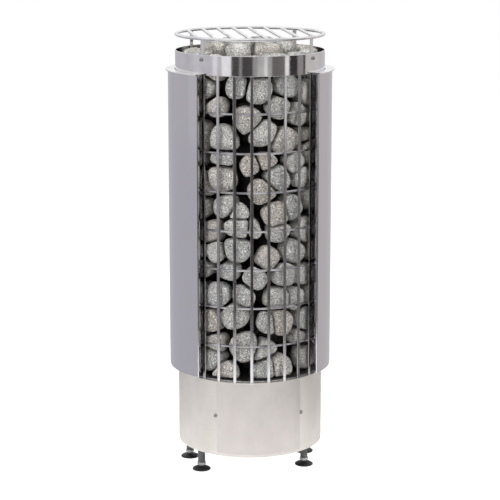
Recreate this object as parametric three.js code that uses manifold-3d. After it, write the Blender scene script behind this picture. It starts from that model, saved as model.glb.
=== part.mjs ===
// A round tower sauna heater: a steel cage full of stones on a base that holds the wiring,
// with a jacket round its sides and back and a guard above the stones.
// Millimetres, +Z up, the floor at z = 0 and the open front towards -Y.
import * as THREE from "three";
import { mergeVertices } from "three/addons/utils/BufferGeometryUtils.js";
import Module from "manifold-3d";

// Driving dimensions
const sheet = 1.5; // steel sheet of the casing
const fitGap = 0.3; // between pieces that touch
const baseBottom = 58; // above the floor, with the feet screwed right in
const baseHeight = 165;
const baseRadius = 157.5;
const cageHeight = 652; // between the base and the collar
const collarHeight = 42;
const collarRadius = 160;
const collarWall = 2;
const barCount = 27;
const barWidth = 6.5;
const barThickness = 2.5;
const barRadius = 157; // outer face of the upright bars
const barLap = 12; // how far the bars reach up behind the collar
const ringCount = 7;
const ringPitch = 82.5;
const ringWire = 5;
const jacketRadius = 176;
const jacketOpening = 46.8; // degrees from the front to each edge of the jacket
const jacketReturn = 7.5; // depth of the turned-in edges
const rimRadius = 180.5;
const rimDrop = 40; // rim plate below the collar's top edge
const rimThickness = 3;
const guardRadius = 157; // middle of the guard's ring
const guardRod = 7;
const guardRise = 33; // middle of the guard's rods above the collar
const guardRodCount = 8;
const guardRodPitch = 35;
const guardLegAngle = 47; // degrees from the front, and from the back
const guardLegWidth = 9.5;
const guardLegThickness = 2;
const screwShank = 4.4;
const screwHole = 5.2;
const screwHead = 9;
const screwGrip = 6; // length of shank behind the head
const screwDrop = 10; // guard screws below the collar's top edge
const frontFeet = { side: 114, depth: -46 }; // from the middle of the base
const rearFeet = { side: 130, depth: 44 };
const padDiameter = 40;
const padHeight = 6.8;
const studDiameter = 10;
const studLength = 45;
const studBore = 11; // through the nut and the leg
const nutCorners = 19;
const nutHeight = 5.7;
const sleeveDiameter = 15.7;
const stoneRows = 14;
const stonesPerRow = 14;
const rowsPerCourse = 2;
const elementCount = 3;
const elementTube = 8.5;

// Levels and radii that follow from them
const baseTop = baseBottom + baseHeight;
const collarBottom = baseTop + cageHeight;
const collarTop = collarBottom + collarHeight;
const guardLevel = collarTop + guardRise;
const screwLevel = collarTop - screwDrop;
const floorThickness = 2;
const floorTop = baseBottom + sheet + fitGap + floorThickness;
const grateThickness = 3;
const grateTop = baseTop + fitGap + grateThickness;
const barFoot = baseTop + fitGap;
const barHeight = collarBottom + barLap - barFoot;
const roundSides = 36; // flats round the casing
const insideBase = (baseRadius - sheet) * Math.cos(Math.PI / roundSides) - fitGap;
const barInside = barRadius - barThickness;
const ringRadius = barInside - fitGap - ringWire / 2;
// The jacket reaches further back than the guard reaches forward: this centres the whole on the origin.
const axisY = -(rimRadius - guardRadius - guardRod / 2) / 2;

const radians = THREE.MathUtils.degToRad;
const wasm = await Module();
wasm.setup();

// Finishes
function steel(color, roughness) {
  return new THREE.MeshStandardMaterial({ color, roughness, metalness: 1 });
}

function nonMetal(color, roughness) {
  return new THREE.MeshStandardMaterial({ color, roughness, metalness: 0 });
}

const polishedSteel = steel("#b9b8bb", 0.15);
const brushedSteel = steel("#cfcac5", 0.4);
const zincSteel = steel("#8f8f8c", 0.45);
const elementSteel = steel("#4b4744", 0.6);
const greyPlastic = nonMetal("#5a5a5a", 0.6);
const blackPlastic = nonMetal("#232323", 0.55);
const whiteCeramic = nonMetal("#e4e0d6", 0.5);
const greyStone = nonMetal("#8e8c88", 0.9);

// Everything stands round the cage's upright axis.
const heater = new THREE.Group();
heater.position.y = axisY;

function place(name, geometry, material) {
  const mesh = new THREE.Mesh(geometry, material.clone());
  mesh.name = name;
  heater.add(mesh);
  return mesh;
}

// A piece built at the front is turned to its angle, counted from the front towards +X.
function placeAt(angle, name, geometry, material) {
  place(name, geometry, material).rotation.z = angle;
}

// Shared shapes

// A body turned about the upright axis. The profile is [radius, level] points, anticlockwise.
function turned(profile, segments) {
  const points = profile.map(([radius, level]) => new THREE.Vector2(radius, level));
  return new THREE.LatheGeometry(points, segments).rotateX(Math.PI / 2);
}

function turnedRing(inside, outside, low, high, segments) {
  return turned([[outside, low], [outside, high], [inside, high], [inside, low], [outside, low]], segments);
}

function plate(shape, low, thickness, curveSegments) {
  const options = { depth: thickness, bevelEnabled: false, curveSegments };
  return new THREE.ExtrudeGeometry(shape, options).translate(0, 0, low);
}

function polygon(radius, sides, x = 0, y = 0) {
  const corner = (_, i) => {
    const angle = (i * 2 * Math.PI) / sides;
    return new THREE.Vector2(x + radius * Math.cos(angle), y + radius * Math.sin(angle));
  };
  return Array.from({ length: sides }, corner);
}

function disc(radius, sides = roundSides) {
  return new THREE.Shape(polygon(radius, sides));
}

function roundHole(x, y, radius, sides = 8) {
  return new THREE.Path(polygon(radius, sides, x, y));
}

// Joining and cutting
function solid(geometry) {
  const bare = new THREE.BufferGeometry();
  bare.setAttribute("position", geometry.getAttribute("position"));
  bare.setIndex(geometry.index);
  const merged = mergeVertices(bare, 1e-3);
  const vertProperties = merged.getAttribute("position").array;
  return new wasm.Manifold(new wasm.Mesh({ numProp: 3, vertProperties, triVerts: merged.index.array }));
}

function geometryOf(body) {
  const { vertProperties, triVerts } = body.getMesh();
  const geometry = new THREE.BufferGeometry();
  geometry.setAttribute("position", new THREE.BufferAttribute(vertProperties, 3));
  return geometry.setIndex(new THREE.BufferAttribute(triVerts, 1));
}

function joined(geometries) {
  return geometryOf(geometries.map(solid).reduce((whole, piece) => whole.add(piece)));
}

function cut(geometry, tools) {
  return geometryOf(tools.map(solid).reduce((whole, tool) => whole.subtract(tool), solid(geometry)));
}

// A drill through a wall at the front, turned to its angle.
function drill(diameter, radius, level, angle) {
  const depth = 20;
  const bit = new THREE.CylinderGeometry(diameter / 2, diameter / 2, depth, 8);
  return bit.translate(0, -radius, level).rotateZ(angle);
}

// A pan-head screw through a wall at the front, its head against the outside.
function screw(radius, level) {
  const headHeight = 2.6;
  const crown = 0.4;
  const profile = [
    [0, -screwGrip],
    [screwShank / 2, -screwGrip],
    [screwShank / 2, fitGap],
    [screwHead / 2, fitGap],
    [screwHead * 0.38, headHeight],
    [0, headHeight + crown],
  ];
  return turned(profile, 8).rotateX(Math.PI / 2).translate(0, -radius, level);
}

// Base: a round casing with a flange inside at the bottom, and a ring inside its top under the cage
const baseScrewRise = 88; // above the base's lower edge
const baseScrewLevel = baseBottom + baseScrewRise;
const baseScrewCount = 5;
const baseScrewAngles = Array.from(
  { length: baseScrewCount },
  (_, i) => ((i + 0.5) * 2 * Math.PI) / baseScrewCount,
);

function baseShell() {
  const inside = baseRadius - sheet;
  const bottomFlange = 146;
  const frontHoleDiameter = 3.5;
  const frontHoleDrop = 4.5;
  const shell = turned(
    [
      [baseRadius, baseBottom],
      [baseRadius, baseTop],
      [inside, baseTop],
      [inside, baseBottom + sheet],
      [bottomFlange, baseBottom + sheet],
      [bottomFlange, baseBottom],
      [baseRadius, baseBottom],
    ],
    roundSides,
  );
  const holes = baseScrewAngles.map((angle) => drill(screwHole, baseRadius, baseScrewLevel, angle));
  const frontHole = drill(frontHoleDiameter, baseRadius, baseTop - frontHoleDrop, 0);
  return cut(shell, [...holes, frontHole]);
}

function topRing() {
  const opening = 138;
  const shape = disc(insideBase);
  shape.holes.push(roundHole(0, 0, opening, roundSides));
  return plate(shape, baseTop - sheet, sheet);
}

place("base_shell", baseShell(), brushedSteel);
place("base_top_ring", topRing(), brushedSteel);
baseScrewAngles.forEach((angle, i) =>
  placeAt(angle, `base_screw_${i + 1}`, screw(baseRadius, baseScrewLevel), zincSteel),
);

// Connection space: floor plate, a plate in its rear notch for the cable inlet, and the mains terminals
const inlet = { x: 0, y: 88, radius: 9.7 };
const notch = { half: 32, front: 56, rear: 148 }; // in the rear edge of the floor plate

function floorPlate() {
  const floor = plate(disc(insideBase), floorTop - floorThickness, floorThickness);
  const depth = baseRadius - notch.front;
  const opening = new THREE.BoxGeometry(2 * notch.half, depth, 3 * floorThickness);
  opening.translate(0, notch.front + depth / 2, floorTop - floorThickness / 2);
  return cut(floor, [opening]);
}

function inletPlate() {
  const half = notch.half - fitGap;
  const shape = new THREE.Shape();
  shape.moveTo(-half, notch.front + fitGap);
  shape.lineTo(half, notch.front + fitGap);
  shape.lineTo(half, notch.rear);
  shape.lineTo(-half, notch.rear);
  shape.holes.push(roundHole(inlet.x, inlet.y, inlet.radius + 1, 12));
  return plate(shape, floorTop - floorThickness, floorThickness);
}

function cableGland() {
  const bore = 6;
  const mouth = 9;
  const cap = 12;
  const under = floorTop - floorThickness - fitGap;
  const bottom = under - 22;
  const shoulder = under - 16;
  const top = floorTop + 12;
  const profile = [
    [mouth, bottom],
    [cap, shoulder],
    [cap, under],
    [inlet.radius, under],
    [inlet.radius, top],
    [bore, top],
    [bore, bottom],
    [mouth, bottom],
  ];
  return turned(profile, 12).translate(inlet.x, inlet.y, 0);
}

function glandNut() {
  const corners = 15;
  const height = 5;
  const shape = disc(corners, 6);
  shape.holes.push(roundHole(0, 0, inlet.radius + 1, 12));
  return plate(shape, floorTop + fitGap, height).translate(inlet.x, inlet.y, 0);
}

function terminalBlock() {
  const length = 90;
  const half = 15;
  const ridge = 8; // half the width of the raised middle
  const step = 14;
  const height = 26;
  const forward = 40; // in front of the axis
  const profile = new THREE.Shape();
  profile.moveTo(-half, 0);
  profile.lineTo(half, 0);
  profile.lineTo(half, step);
  profile.lineTo(ridge, step);
  profile.lineTo(ridge, height);
  profile.lineTo(-ridge, height);
  profile.lineTo(-ridge, step);
  profile.lineTo(-half, step);
  const block = plate(profile, -length / 2, length);
  return block.rotateX(Math.PI / 2).rotateZ(Math.PI / 2).translate(0, -forward, floorTop + fitGap);
}

place("base_floor_plate", floorPlate(), zincSteel);
place("inlet_plate", inletPlate(), zincSteel);
place("cable_gland", cableGland(), blackPlastic);
place("gland_nut", glandNut(), blackPlastic);
place("terminal_block", terminalBlock(), whiteCeramic);

// Heating elements: hairpin tubes that stand in the middle of the stones
const elementRadius = 42; // from the axis to the middle of a hairpin
const elementBend = 18;
const elementTail = 50; // below the base's top
const elementCover = 120; // from an element's bend to the collar's top
const elementFoot = baseTop - elementTail;
const elementTop = collarTop - elementCover;
const elementAngles = Array.from({ length: elementCount }, (_, i) => (i * 2 * Math.PI) / elementCount);

// Straight up, half a turn over and straight down, with one step for each straight leg.
class Hairpin extends THREE.Curve {
  getPoint(t) {
    const bendStart = 0.1;
    const shoulder = elementTop - elementBend;
    const turn = THREE.MathUtils.clamp((t - bendStart) / (1 - 2 * bendStart), 0, 1) * Math.PI;
    const down = Math.max(0, bendStart - t, t - 1 + bendStart) / bendStart;
    const x = -elementBend * Math.cos(turn);
    const z = shoulder + elementBend * Math.sin(turn) - down * (shoulder - elementFoot);
    return new THREE.Vector3(x, -elementRadius, z);
  }
  getPointAt(t) {
    return this.getPoint(t);
  }
  getTangentAt(t) {
    return this.getTangent(t);
  }
}

function heatingElement() {
  const options = { extrudePath: new Hairpin(), steps: 10, bevelEnabled: false };
  return new THREE.ExtrudeGeometry(disc(elementTube / 2, 8), options);
}

// Holes for both legs of every hairpin
const elementHole = elementTube / 2 + 2 * fitGap;

function elementHoles() {
  return elementAngles.flatMap((angle) =>
    [-elementBend, elementBend].map((side) => {
      const leg = new THREE.Vector2(side, -elementRadius).rotateAround(new THREE.Vector2(), angle);
      return roundHole(leg.x, leg.y, elementHole);
    }),
  );
}

function elementHolder() {
  const drop = 25; // below the base's top
  const thickness = 2;
  const shape = disc(insideBase);
  shape.holes.push(...elementHoles());
  return plate(shape, baseTop - drop, thickness);
}

function stoneGrate() {
  const slotCount = 8;
  const slotWidth = 9;
  const slotInside = 75;
  const slotOutside = 125;
  const shape = disc(barInside - 2 * fitGap);
  shape.holes.push(...elementHoles());
  for (let i = 0; i < slotCount; i++) {
    const angle = (i * 2 * Math.PI) / slotCount;
    const corner = (out, side) =>
      new THREE.Vector2(out, side * (slotWidth / 2)).rotateAround(new THREE.Vector2(), angle);
    const inner = [corner(slotInside, 1), corner(slotInside, -1)];
    const outer = [corner(slotOutside, -1), corner(slotOutside, 1)];
    shape.holes.push(new THREE.Path([...inner, ...outer]));
  }
  return plate(shape, grateTop - grateThickness, grateThickness);
}

elementAngles.forEach((angle, i) =>
  placeAt(angle, `heating_element_${i + 1}`, heatingElement(), elementSteel),
);
place("element_holder", elementHolder(), zincSteel);
place("stone_grate", stoneGrate(), zincSteel);

// Cage: flat upright bars welded to a hoop under the collar, with wire rings inside them
function stoneCage() {
  const barStep = (2 * Math.PI) / barCount;
  const hoopWall = 1.3;
  const hoopHeight = 9;
  const hoopLow = collarBottom + 1;
  const hoopOutside = barRadius + 0.2; // just proud of the bars
  const hoop = turnedRing(hoopOutside - hoopWall, hoopOutside, hoopLow, hoopLow + hoopHeight, barCount);
  const pieces = [hoop];
  for (let i = 0; i < barCount; i++) {
    const bar = new THREE.BoxGeometry(barWidth, barThickness, barHeight);
    bar.translate(0, -barRadius + barThickness / 2, barFoot + barHeight / 2);
    pieces.push(bar.rotateZ((i + 0.5) * barStep));
  }
  return joined(pieces);
}

place("stone_cage", stoneCage(), polishedSteel);
const lowestRing = baseTop + (cageHeight - (ringCount - 1) * ringPitch) / 2;
for (let i = 0; i < ringCount; i++) {
  const ring = new THREE.TorusGeometry(ringRadius, ringWire / 2, 4, barCount);
  place(`cage_ring_${i + 1}`, ring.translate(0, 0, lowestRing + i * ringPitch), polishedSteel);
}

// Collar: a band round the top of the cage, with the guard's screws through it
const guardLegAngles = [guardLegAngle, 180 - guardLegAngle, 180 + guardLegAngle, 360 - guardLegAngle].map(
  radians,
);

function collar() {
  const band = turnedRing(collarRadius - collarWall, collarRadius, collarBottom, collarTop, roundSides);
  const holes = guardLegAngles.map((angle) => drill(screwHole, collarRadius, screwLevel, angle));
  return cut(band, holes);
}

place("collar", collar(), polishedSteel);
guardLegAngles.forEach((angle, i) =>
  placeAt(angle, `guard_screw_${i + 1}`, screw(collarRadius, screwLevel), zincSteel),
);

// Guard: a ring with rods from front to back, on flat legs that fork over the collar's screws
function guardLeg() {
  const slot = screwShank / 2 + 0.6;
  const foot = screwLevel - 10; // ends of the fork
  const half = guardLegWidth / 2;
  const outline = new THREE.Shape();
  outline.moveTo(half, foot);
  outline.lineTo(half, guardLevel);
  outline.lineTo(-half, guardLevel);
  outline.lineTo(-half, foot);
  outline.lineTo(-slot, foot);
  outline.lineTo(-slot, screwLevel);
  outline.absarc(0, screwLevel, slot, Math.PI, 0, true);
  outline.lineTo(slot, foot);
  const face = (collarRadius - collarWall) * Math.cos(Math.PI / roundSides) - fitGap;
  const leg = plate(outline, 0, guardLegThickness, 3).rotateX(Math.PI / 2);
  return leg.translate(0, -face + guardLegThickness, 0);
}

function topGuard() {
  const ring = new THREE.TorusGeometry(guardRadius, guardRod / 2, 6, roundSides).translate(0, 0, guardLevel);
  const pieces = [ring];
  for (let i = 0; i < guardRodCount; i++) {
    const x = (i - (guardRodCount - 1) / 2) * guardRodPitch;
    const length = 2 * Math.sqrt(guardRadius ** 2 - x ** 2);
    const rod = new THREE.CylinderGeometry(guardRod / 2, guardRod / 2, length, 6);
    pieces.push(rod.translate(x, 0, guardLevel));
  }
  guardLegAngles.forEach((angle) => pieces.push(guardLeg().rotateZ(angle)));
  return joined(pieces);
}

place("top_guard", topGuard(), polishedSteel);

// Jacket: a sheet bent round the sides and back, its upright edges turned in, under a flat rim
const jacketStart = radians(jacketOpening) - Math.PI / 2;
const jacketEnd = 3 * (Math.PI / 2) - radians(jacketOpening);
const rimTop = collarTop - rimDrop;
const rimBottom = rimTop - rimThickness;
const jacketTop = rimBottom - fitGap;
const jacketBottom = baseTop + 7;

function jacketWall() {
  const inside = jacketRadius - sheet;
  const lip = jacketRadius - jacketReturn;
  const outline = new THREE.Shape();
  const corner = (radius, angle) => outline.lineTo(radius * Math.cos(angle), radius * Math.sin(angle));
  outline.absarc(0, 0, jacketRadius, jacketStart, jacketEnd);
  corner(lip, jacketEnd);
  corner(lip, jacketEnd - sheet / lip);
  outline.absarc(0, 0, inside, jacketEnd - sheet / inside, jacketStart + sheet / inside, true);
  corner(lip, jacketStart + sheet / lip);
  corner(lip, jacketStart);
  return plate(outline, jacketBottom, jacketTop - jacketBottom, 20);
}

function jacketRim() {
  const outline = new THREE.Shape();
  outline.absarc(0, 0, rimRadius, jacketStart, jacketEnd);
  outline.absarc(0, 0, collarRadius + 1, jacketEnd, jacketStart, true);
  return plate(outline, rimBottom, rimThickness, 20);
}

// A Z-shaped strip from a bar of the cage to the inside of the jacket
function jacketBracket(level) {
  const inner = barRadius + fitGap;
  const outer = jacketRadius - sheet - 3 * fitGap;
  const tab = 15;
  const profile = new THREE.Shape();
  profile.moveTo(inner, level - tab);
  profile.lineTo(inner + sheet, level - tab);
  profile.lineTo(inner + sheet, level);
  profile.lineTo(outer, level);
  profile.lineTo(outer, level + tab);
  profile.lineTo(outer - sheet, level + tab);
  profile.lineTo(outer - sheet, level + sheet);
  profile.lineTo(inner, level + sheet);
  const width = 12;
  const strip = plate(profile, -width / 2, width);
  return strip.rotateX(Math.PI / 2).rotateZ(-Math.PI / 2);
}

place("jacket", jacketWall(), polishedSteel);
place("jacket_rim", jacketRim(), polishedSteel);
const bracketAngle = (7.5 * 2 * Math.PI) / barCount; // on the eighth bar to each side
[jacketBottom + 70, jacketTop - 70].forEach((level, i) => {
  placeAt(bracketAngle, `jacket_bracket_${2 * i + 1}`, jacketBracket(level), zincSteel);
  placeAt(-bracketAngle, `jacket_bracket_${2 * i + 2}`, jacketBracket(level), zincSteel);
});

// Levelling feet: a fixed leg and its lock nut, and a stud that screws out with its pad
const padProfile = [
  [0, 0],
  [padDiameter / 2, 0],
  [padDiameter / 2, 2.5],
  [padDiameter * 0.41, 4.8],
  [padDiameter * 0.22, padHeight],
  [0, padHeight],
];
const studFoot = padHeight + fitGap;
const nutBottom = studFoot + 4;
const sleeveBottom = nutBottom + nutHeight + fitGap;

function lockNut() {
  const shape = disc(nutCorners / 2, 6);
  shape.holes.push(roundHole(0, 0, studBore / 2, 12));
  return plate(shape, nutBottom, nutHeight);
}

const footPlaces = [
  [frontFeet.side, frontFeet.depth],
  [rearFeet.side, rearFeet.depth],
  [-rearFeet.side, rearFeet.depth],
  [-frontFeet.side, frontFeet.depth],
];
footPlaces.forEach(([x, y], i) => {
  const stud = new THREE.CylinderGeometry(studDiameter / 2, studDiameter / 2, studLength, 10);
  stud.rotateX(Math.PI / 2).translate(0, 0, studFoot + studLength / 2);
  const sleeve = turnedRing(studBore / 2, sleeveDiameter / 2, sleeveBottom, baseBottom + sheet, 12);
  const pieces = [
    place(`foot_pad_${i + 1}`, turned(padProfile, 16), blackPlastic),
    place(`foot_stud_${i + 1}`, stud, zincSteel),
    place(`lock_nut_${i + 1}`, lockNut(), zincSteel),
    place(`leg_sleeve_${i + 1}`, sleeve, greyPlastic),
  ];
  pieces.forEach((piece) => piece.position.set(x, y, 0));
});

// Stones: each one is a rounded cell between its neighbours, the cage and the grate
const stoneWall = (ringRadius - ringWire / 2) * Math.cos(Math.PI / barCount) - 0.6; // inside the rings
const stoneInside = 98; // how far in the outer stones reach
const stoneRing = 125; // where their middles stand
const stoneFloor = grateTop + fitGap;
const rowPitch = (collarTop - stoneFloor) / stoneRows;
const stoneGap = 0.4;
const largestStone = 42; // half its size
const roundness = 6; // higher is squarer
const shownAngle = 62; // degrees from the front within which the stones show
const hiddenLap = 14; // the hidden stones reach this far into the outer ones
const hiddenGap = 10; // from the hidden stones to the top and bottom of their course
const heapRings = [{ count: 8, radius: 82 }, { count: 3, radius: 30 }];
const heapTop = collarTop + 22;
const heapFloor = collarTop - 66;
const heapMiddle = heapTop - 30;

// Even scatter from 0 to 1, the same at every run
function scatter(n) {
  const wave = Math.sin(n * 12.9898) * 43758.5453;
  return wave - Math.floor(wave);
}

function stoneSeed(index, row, turn, radius, level) {
  const angle = 2 * Math.PI * turn;
  const middle = new THREE.Vector3(radius * Math.sin(angle), -radius * Math.cos(angle), level);
  const bulk = 1 + 0.8 * (scatter(index + 0.75) - 0.5);
  return { row, middle, bulk, fromFront: Math.abs(((turn + 0.5) % 1) - 0.5) * 360 };
}

function stoneSeeds() {
  const seeds = [];
  for (let row = 0; row < stoneRows; row++)
    for (let i = 0; i < stonesPerRow; i++) {
      const index = row * stonesPerRow + i;
      const step = i + 0.5 * (row % 2) + 0.7 * (scatter(index) - 0.5);
      const radius = stoneRing + 12 * (scatter(index + 0.25) - 0.5);
      const lift = row + 0.5 + 0.6 * (scatter(index + 0.5) - 0.5);
      seeds.push(stoneSeed(index, row, (step + 1) / stonesPerRow, radius, stoneFloor + lift * rowPitch));
    }
  heapRings.forEach(({ count, radius }, ring) => {
    for (let i = 0; i < count; i++) {
      const index = seeds.length;
      const turn = (i + 0.5 + 0.3 * (scatter(index) - 0.5)) / count;
      const level = heapMiddle + 8 * (scatter(index + 0.5) - 0.5) + 4 * ring;
      seeds.push({ ...stoneSeed(index, stoneRows - 1, turn, radius, level), onHeap: true });
    }
  });
  return seeds;
}

// The flat limits of one stone: its share of the way to each neighbour, and what holds the stones in
function stoneLimits(stone, seeds) {
  const limits = [];
  const limit = (normal, distance) => limits.push({ normal, distance });
  for (const other of seeds) {
    const apart = other.middle.clone().sub(stone.middle);
    const distance = apart.length();
    if (other === stone || distance > 4 * largestStone) continue;
    const share = (distance * stone.bulk) / (stone.bulk + other.bulk);
    limit(apart.divideScalar(distance), share - stoneGap / 2);
  }
  const { x, y, z } = stone.middle;
  const out = new THREE.Vector3(x, y, 0).normalize();
  const radius = Math.hypot(x, y);
  const up = new THREE.Vector3(0, 0, 1);
  limit(out, stoneWall - radius);
  if (!stone.onHeap) limit(out.clone().negate(), radius - stoneInside);
  limit(up.clone().negate(), z - (stone.onHeap ? heapFloor : stoneFloor));
  limit(up, (stone.onHeap ? heapTop : collarTop + 4) - z);
  return limits;
}

function pebble(stone, limits) {
  const surface = ball.clone();
  const points = surface.getAttribute("position");
  const direction = new THREE.Vector3();
  for (let i = 0; i < points.count; i++) {
    direction.fromBufferAttribute(points, i).normalize();
    let fullness = largestStone ** -roundness;
    for (const { normal, distance } of limits)
      fullness += Math.max(0, direction.dot(normal) / distance) ** roundness;
    direction.multiplyScalar(fullness ** (-1 / roundness)).add(stone.middle);
    points.setXYZ(i, direction.x, direction.y, direction.z);
  }
  return surface;
}

// The hidden stones of a course, as one lumpy drum with room for the elements. Behind the shown
// stones it keeps clear of the cage, and behind the jacket its lumps reach the cage.
function hiddenStones(low, high) {
  const outside = stoneInside + hiddenLap;
  const rows = [1, 3].map((quarter) => low + (quarter * (high - low)) / 4);
  const outer = [low, ...rows, high].map((level) => [outside, level]);
  const drum = turned([[0, low], ...outer, [0, high]], 2 * stonesPerRow);
  const points = drum.getAttribute("position");
  const point = new THREE.Vector3();
  for (let i = 0; i < points.count; i++) {
    point.fromBufferAttribute(points, i);
    const fromFront = Math.abs(Math.atan2(point.x, -point.y));
    const row = rows.findIndex((level) => Math.abs(level - point.z) < fitGap);
    if (row < 0 || fromFront < radians(shownAngle + 10)) continue;
    const lump = 0.5 + 0.5 * Math.cos(stonesPerRow * fromFront + row * Math.PI);
    const stretch = 1 + (lump * (stoneWall - outside - 4)) / outside;
    points.setXYZ(i, point.x * stretch, point.y * stretch, point.z);
  }
  return low < elementTop ? cut(drum, elementAngles.map(elementSlot)) : drum;
}

// The room that one hairpin takes among the stones
function elementSlot(angle) {
  const width = 2 * (elementBend + elementHole);
  const length = 2 * (elementTop - elementFoot);
  const slot = new THREE.BoxGeometry(width, 2 * elementHole, length);
  return slot.translate(0, -elementRadius, elementTop).rotateZ(angle);
}

// Each course is two rows of stones and the hidden ones behind them, which give way to the stones
// that reach in from the courses above and below.
const ball = new THREE.BoxGeometry(1, 1, 1, 2, 2, 2);
const seeds = stoneSeeds();
const courseCount = stoneRows / rowsPerCourse;
const pebbles = Array.from({ length: courseCount }, () => []);
for (const stone of seeds)
  if (stone.fromFront < shownAngle || stone.row === stoneRows - 1)
    pebbles[Math.floor(stone.row / rowsPerCourse)].push(pebble(stone, stoneLimits(stone, seeds)));
for (let course = 0; course < courseCount; course++) {
  const low = stoneFloor + course * rowsPerCourse * rowPitch;
  const high = low + rowsPerCourse * rowPitch;
  const guests = [pebbles[course - 1], pebbles[course + 1]].flatMap((others) => others ?? []);
  const hidden = cut(hiddenStones(low + hiddenGap, high - hiddenGap), guests);
  place(`stone_course_${course + 1}`, joined([hidden, ...pebbles[course]]), greyStone);
}

const stove = new THREE.Group();
stove.add(heater);

export default stove;
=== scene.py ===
# A round tower sauna heater: a steel cage full of stones on a base that holds the wiring, with a
# polished jacket round its sides and back and a rod guard above the stones.
# Metres, +Z up, the open front towards -Y.
import math
import bmesh
import bpy
from mathutils import Matrix, Vector, noise


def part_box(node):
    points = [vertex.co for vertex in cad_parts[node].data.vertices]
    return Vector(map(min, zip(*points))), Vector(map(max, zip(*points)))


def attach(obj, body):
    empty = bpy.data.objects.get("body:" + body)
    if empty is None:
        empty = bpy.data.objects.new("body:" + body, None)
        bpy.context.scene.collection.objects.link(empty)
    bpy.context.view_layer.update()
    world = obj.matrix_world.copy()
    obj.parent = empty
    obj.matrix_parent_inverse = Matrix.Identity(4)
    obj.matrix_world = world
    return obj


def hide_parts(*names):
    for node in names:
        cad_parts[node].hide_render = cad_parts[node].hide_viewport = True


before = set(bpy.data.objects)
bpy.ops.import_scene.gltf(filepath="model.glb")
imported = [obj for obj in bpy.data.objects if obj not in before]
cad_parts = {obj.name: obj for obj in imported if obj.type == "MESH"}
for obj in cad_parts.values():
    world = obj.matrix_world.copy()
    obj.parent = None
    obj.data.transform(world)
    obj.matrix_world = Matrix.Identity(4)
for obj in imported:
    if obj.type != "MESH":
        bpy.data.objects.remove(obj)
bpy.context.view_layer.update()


# Base casing
# A band of 1.5 mm stainless sheet, rolled, welded and flanged in at both edges, with a ground
# finish that runs round it. It stands on the legs, carries the cage and hides the wiring.
MM = 0.001
base_low, base_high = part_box("base_shell")
axis = Vector(((base_low.x + base_high.x) / 2, (base_low.y + base_high.y) / 2, 0))
base_radius = (base_high.x - base_low.x) / 2
sheet = 1.5 * MM
sheet_edge = 1.2 * MM
base_top_flange = 138 * MM
base_bottom_flange = 146 * MM
front_hole_radius = 1.75 * MM
front_hole_drop = 4.5 * MM
front_hole_reach = 4 * MM


def linear(hex_colour):
    """An sRGB hex colour as linear red, green, blue and alpha."""
    shares = [int(hex_colour[i : i + 2], 16) / 255 for i in (1, 3, 5)]
    return [s / 12.92 if s <= 0.04045 else ((s + 0.055) / 1.055) ** 2.4 for s in shares] + [1]


def add_node(tree, kind, sockets=None, output=0, **settings):
    """One node with its settings. A socket given another socket is linked to it, and any other is
    set. Gives the output that is asked for, where the node has any."""
    node = tree.nodes.new(kind)
    for name, value in settings.items():
        setattr(node, name, value)
    for socket, value in (sockets or {}).items():
        if isinstance(value, bpy.types.NodeSocket):
            tree.links.new(value, node.inputs[socket])
        else:
            node.inputs[socket].default_value = value
    return node.outputs[output] if len(node.outputs) else None


def new_material(name):
    """An empty material, with its node tree."""
    made = bpy.data.materials.new(name)
    made.use_nodes = True
    made.node_tree.nodes.clear()
    return made, made.node_tree


def mottled(name, shades, clouds, grain, gloss, depth, shader, detail=2.0, wave=0, patchy=False):
    """Two shades that go over into each other in clouds, and a finer grain in the height and the
    gloss, whose patches can also be the clouds. Lengths are millimetres along X, Y and Z. A wave
    bends the surface slowly."""
    made, tree = new_material(name)
    place = add_node(tree, "ShaderNodeTexCoord", output="Object")
    wave_lengths = (140, 140, 190)
    fields = []
    for lengths, fineness in ((clouds, 3.0), (grain, detail), (wave_lengths, 1.0)):
        scale = [1 / (length * MM) for length in lengths]
        scaled = add_node(tree, "ShaderNodeMapping", {"Vector": place, "Scale": scale})
        sockets = {"Vector": scaled, "Scale": 1.0, "Detail": fineness}
        fields.append(add_node(tree, "ShaderNodeTexNoise", sockets))
    cloud, fine, slow = fields
    spread = {"From Min": 0.3, "From Max": 0.7}
    amount = add_node(tree, "ShaderNodeMapRange", {"Value": cloud, **spread})
    light, dark = [linear(shade) for shade in shades]
    sockets = {0: amount, 6: light, 7: dark}
    colour = add_node(tree, "ShaderNodeMix", sockets, 2, data_type="RGBA")
    spread["To Min"], spread["To Max"] = gloss
    sockets = {"Value": cloud if patchy else fine, **spread}
    roughness = add_node(tree, "ShaderNodeMapRange", sockets)
    relief = {"Height": fine, "Distance": depth * MM}
    if wave:
        sockets = {"Height": slow, "Distance": wave * MM}
        relief["Normal"] = add_node(tree, "ShaderNodeBump", sockets)
    normal = add_node(tree, "ShaderNodeBump", relief)
    sockets = {"Base Color": colour, "Roughness": roughness, "Normal": normal, **shader}
    surface = add_node(tree, "ShaderNodeBsdfPrincipled", sockets)
    add_node(tree, "ShaderNodeOutputMaterial", {"Surface": surface})
    return made


def rounded(corners, radius, steps=4):
    """A closed outline with each corner turned into a small curve. A point just before and after
    the curve keeps the shading of the flat sides flat."""
    longest_reach = 0.4
    lead = 1.2
    outline = []
    for i, corner in enumerate(corners):
        here = Vector(corner)
        before = Vector(corners[i - 1]) - here
        after = Vector(corners[(i + 1) % len(corners)]) - here
        reach = min(radius, before.length * longest_reach, after.length * longest_reach)
        start = here + before.normalized() * reach
        end = here + after.normalized() * reach
        outline.append(here + before.normalized() * reach * lead)
        for k in range(steps + 1):
            t = k / steps
            outline.append(start.lerp(here, t).lerp(here.lerp(end, t), t))
        outline.append(here + after.normalized() * reach * lead)
    return outline


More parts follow.
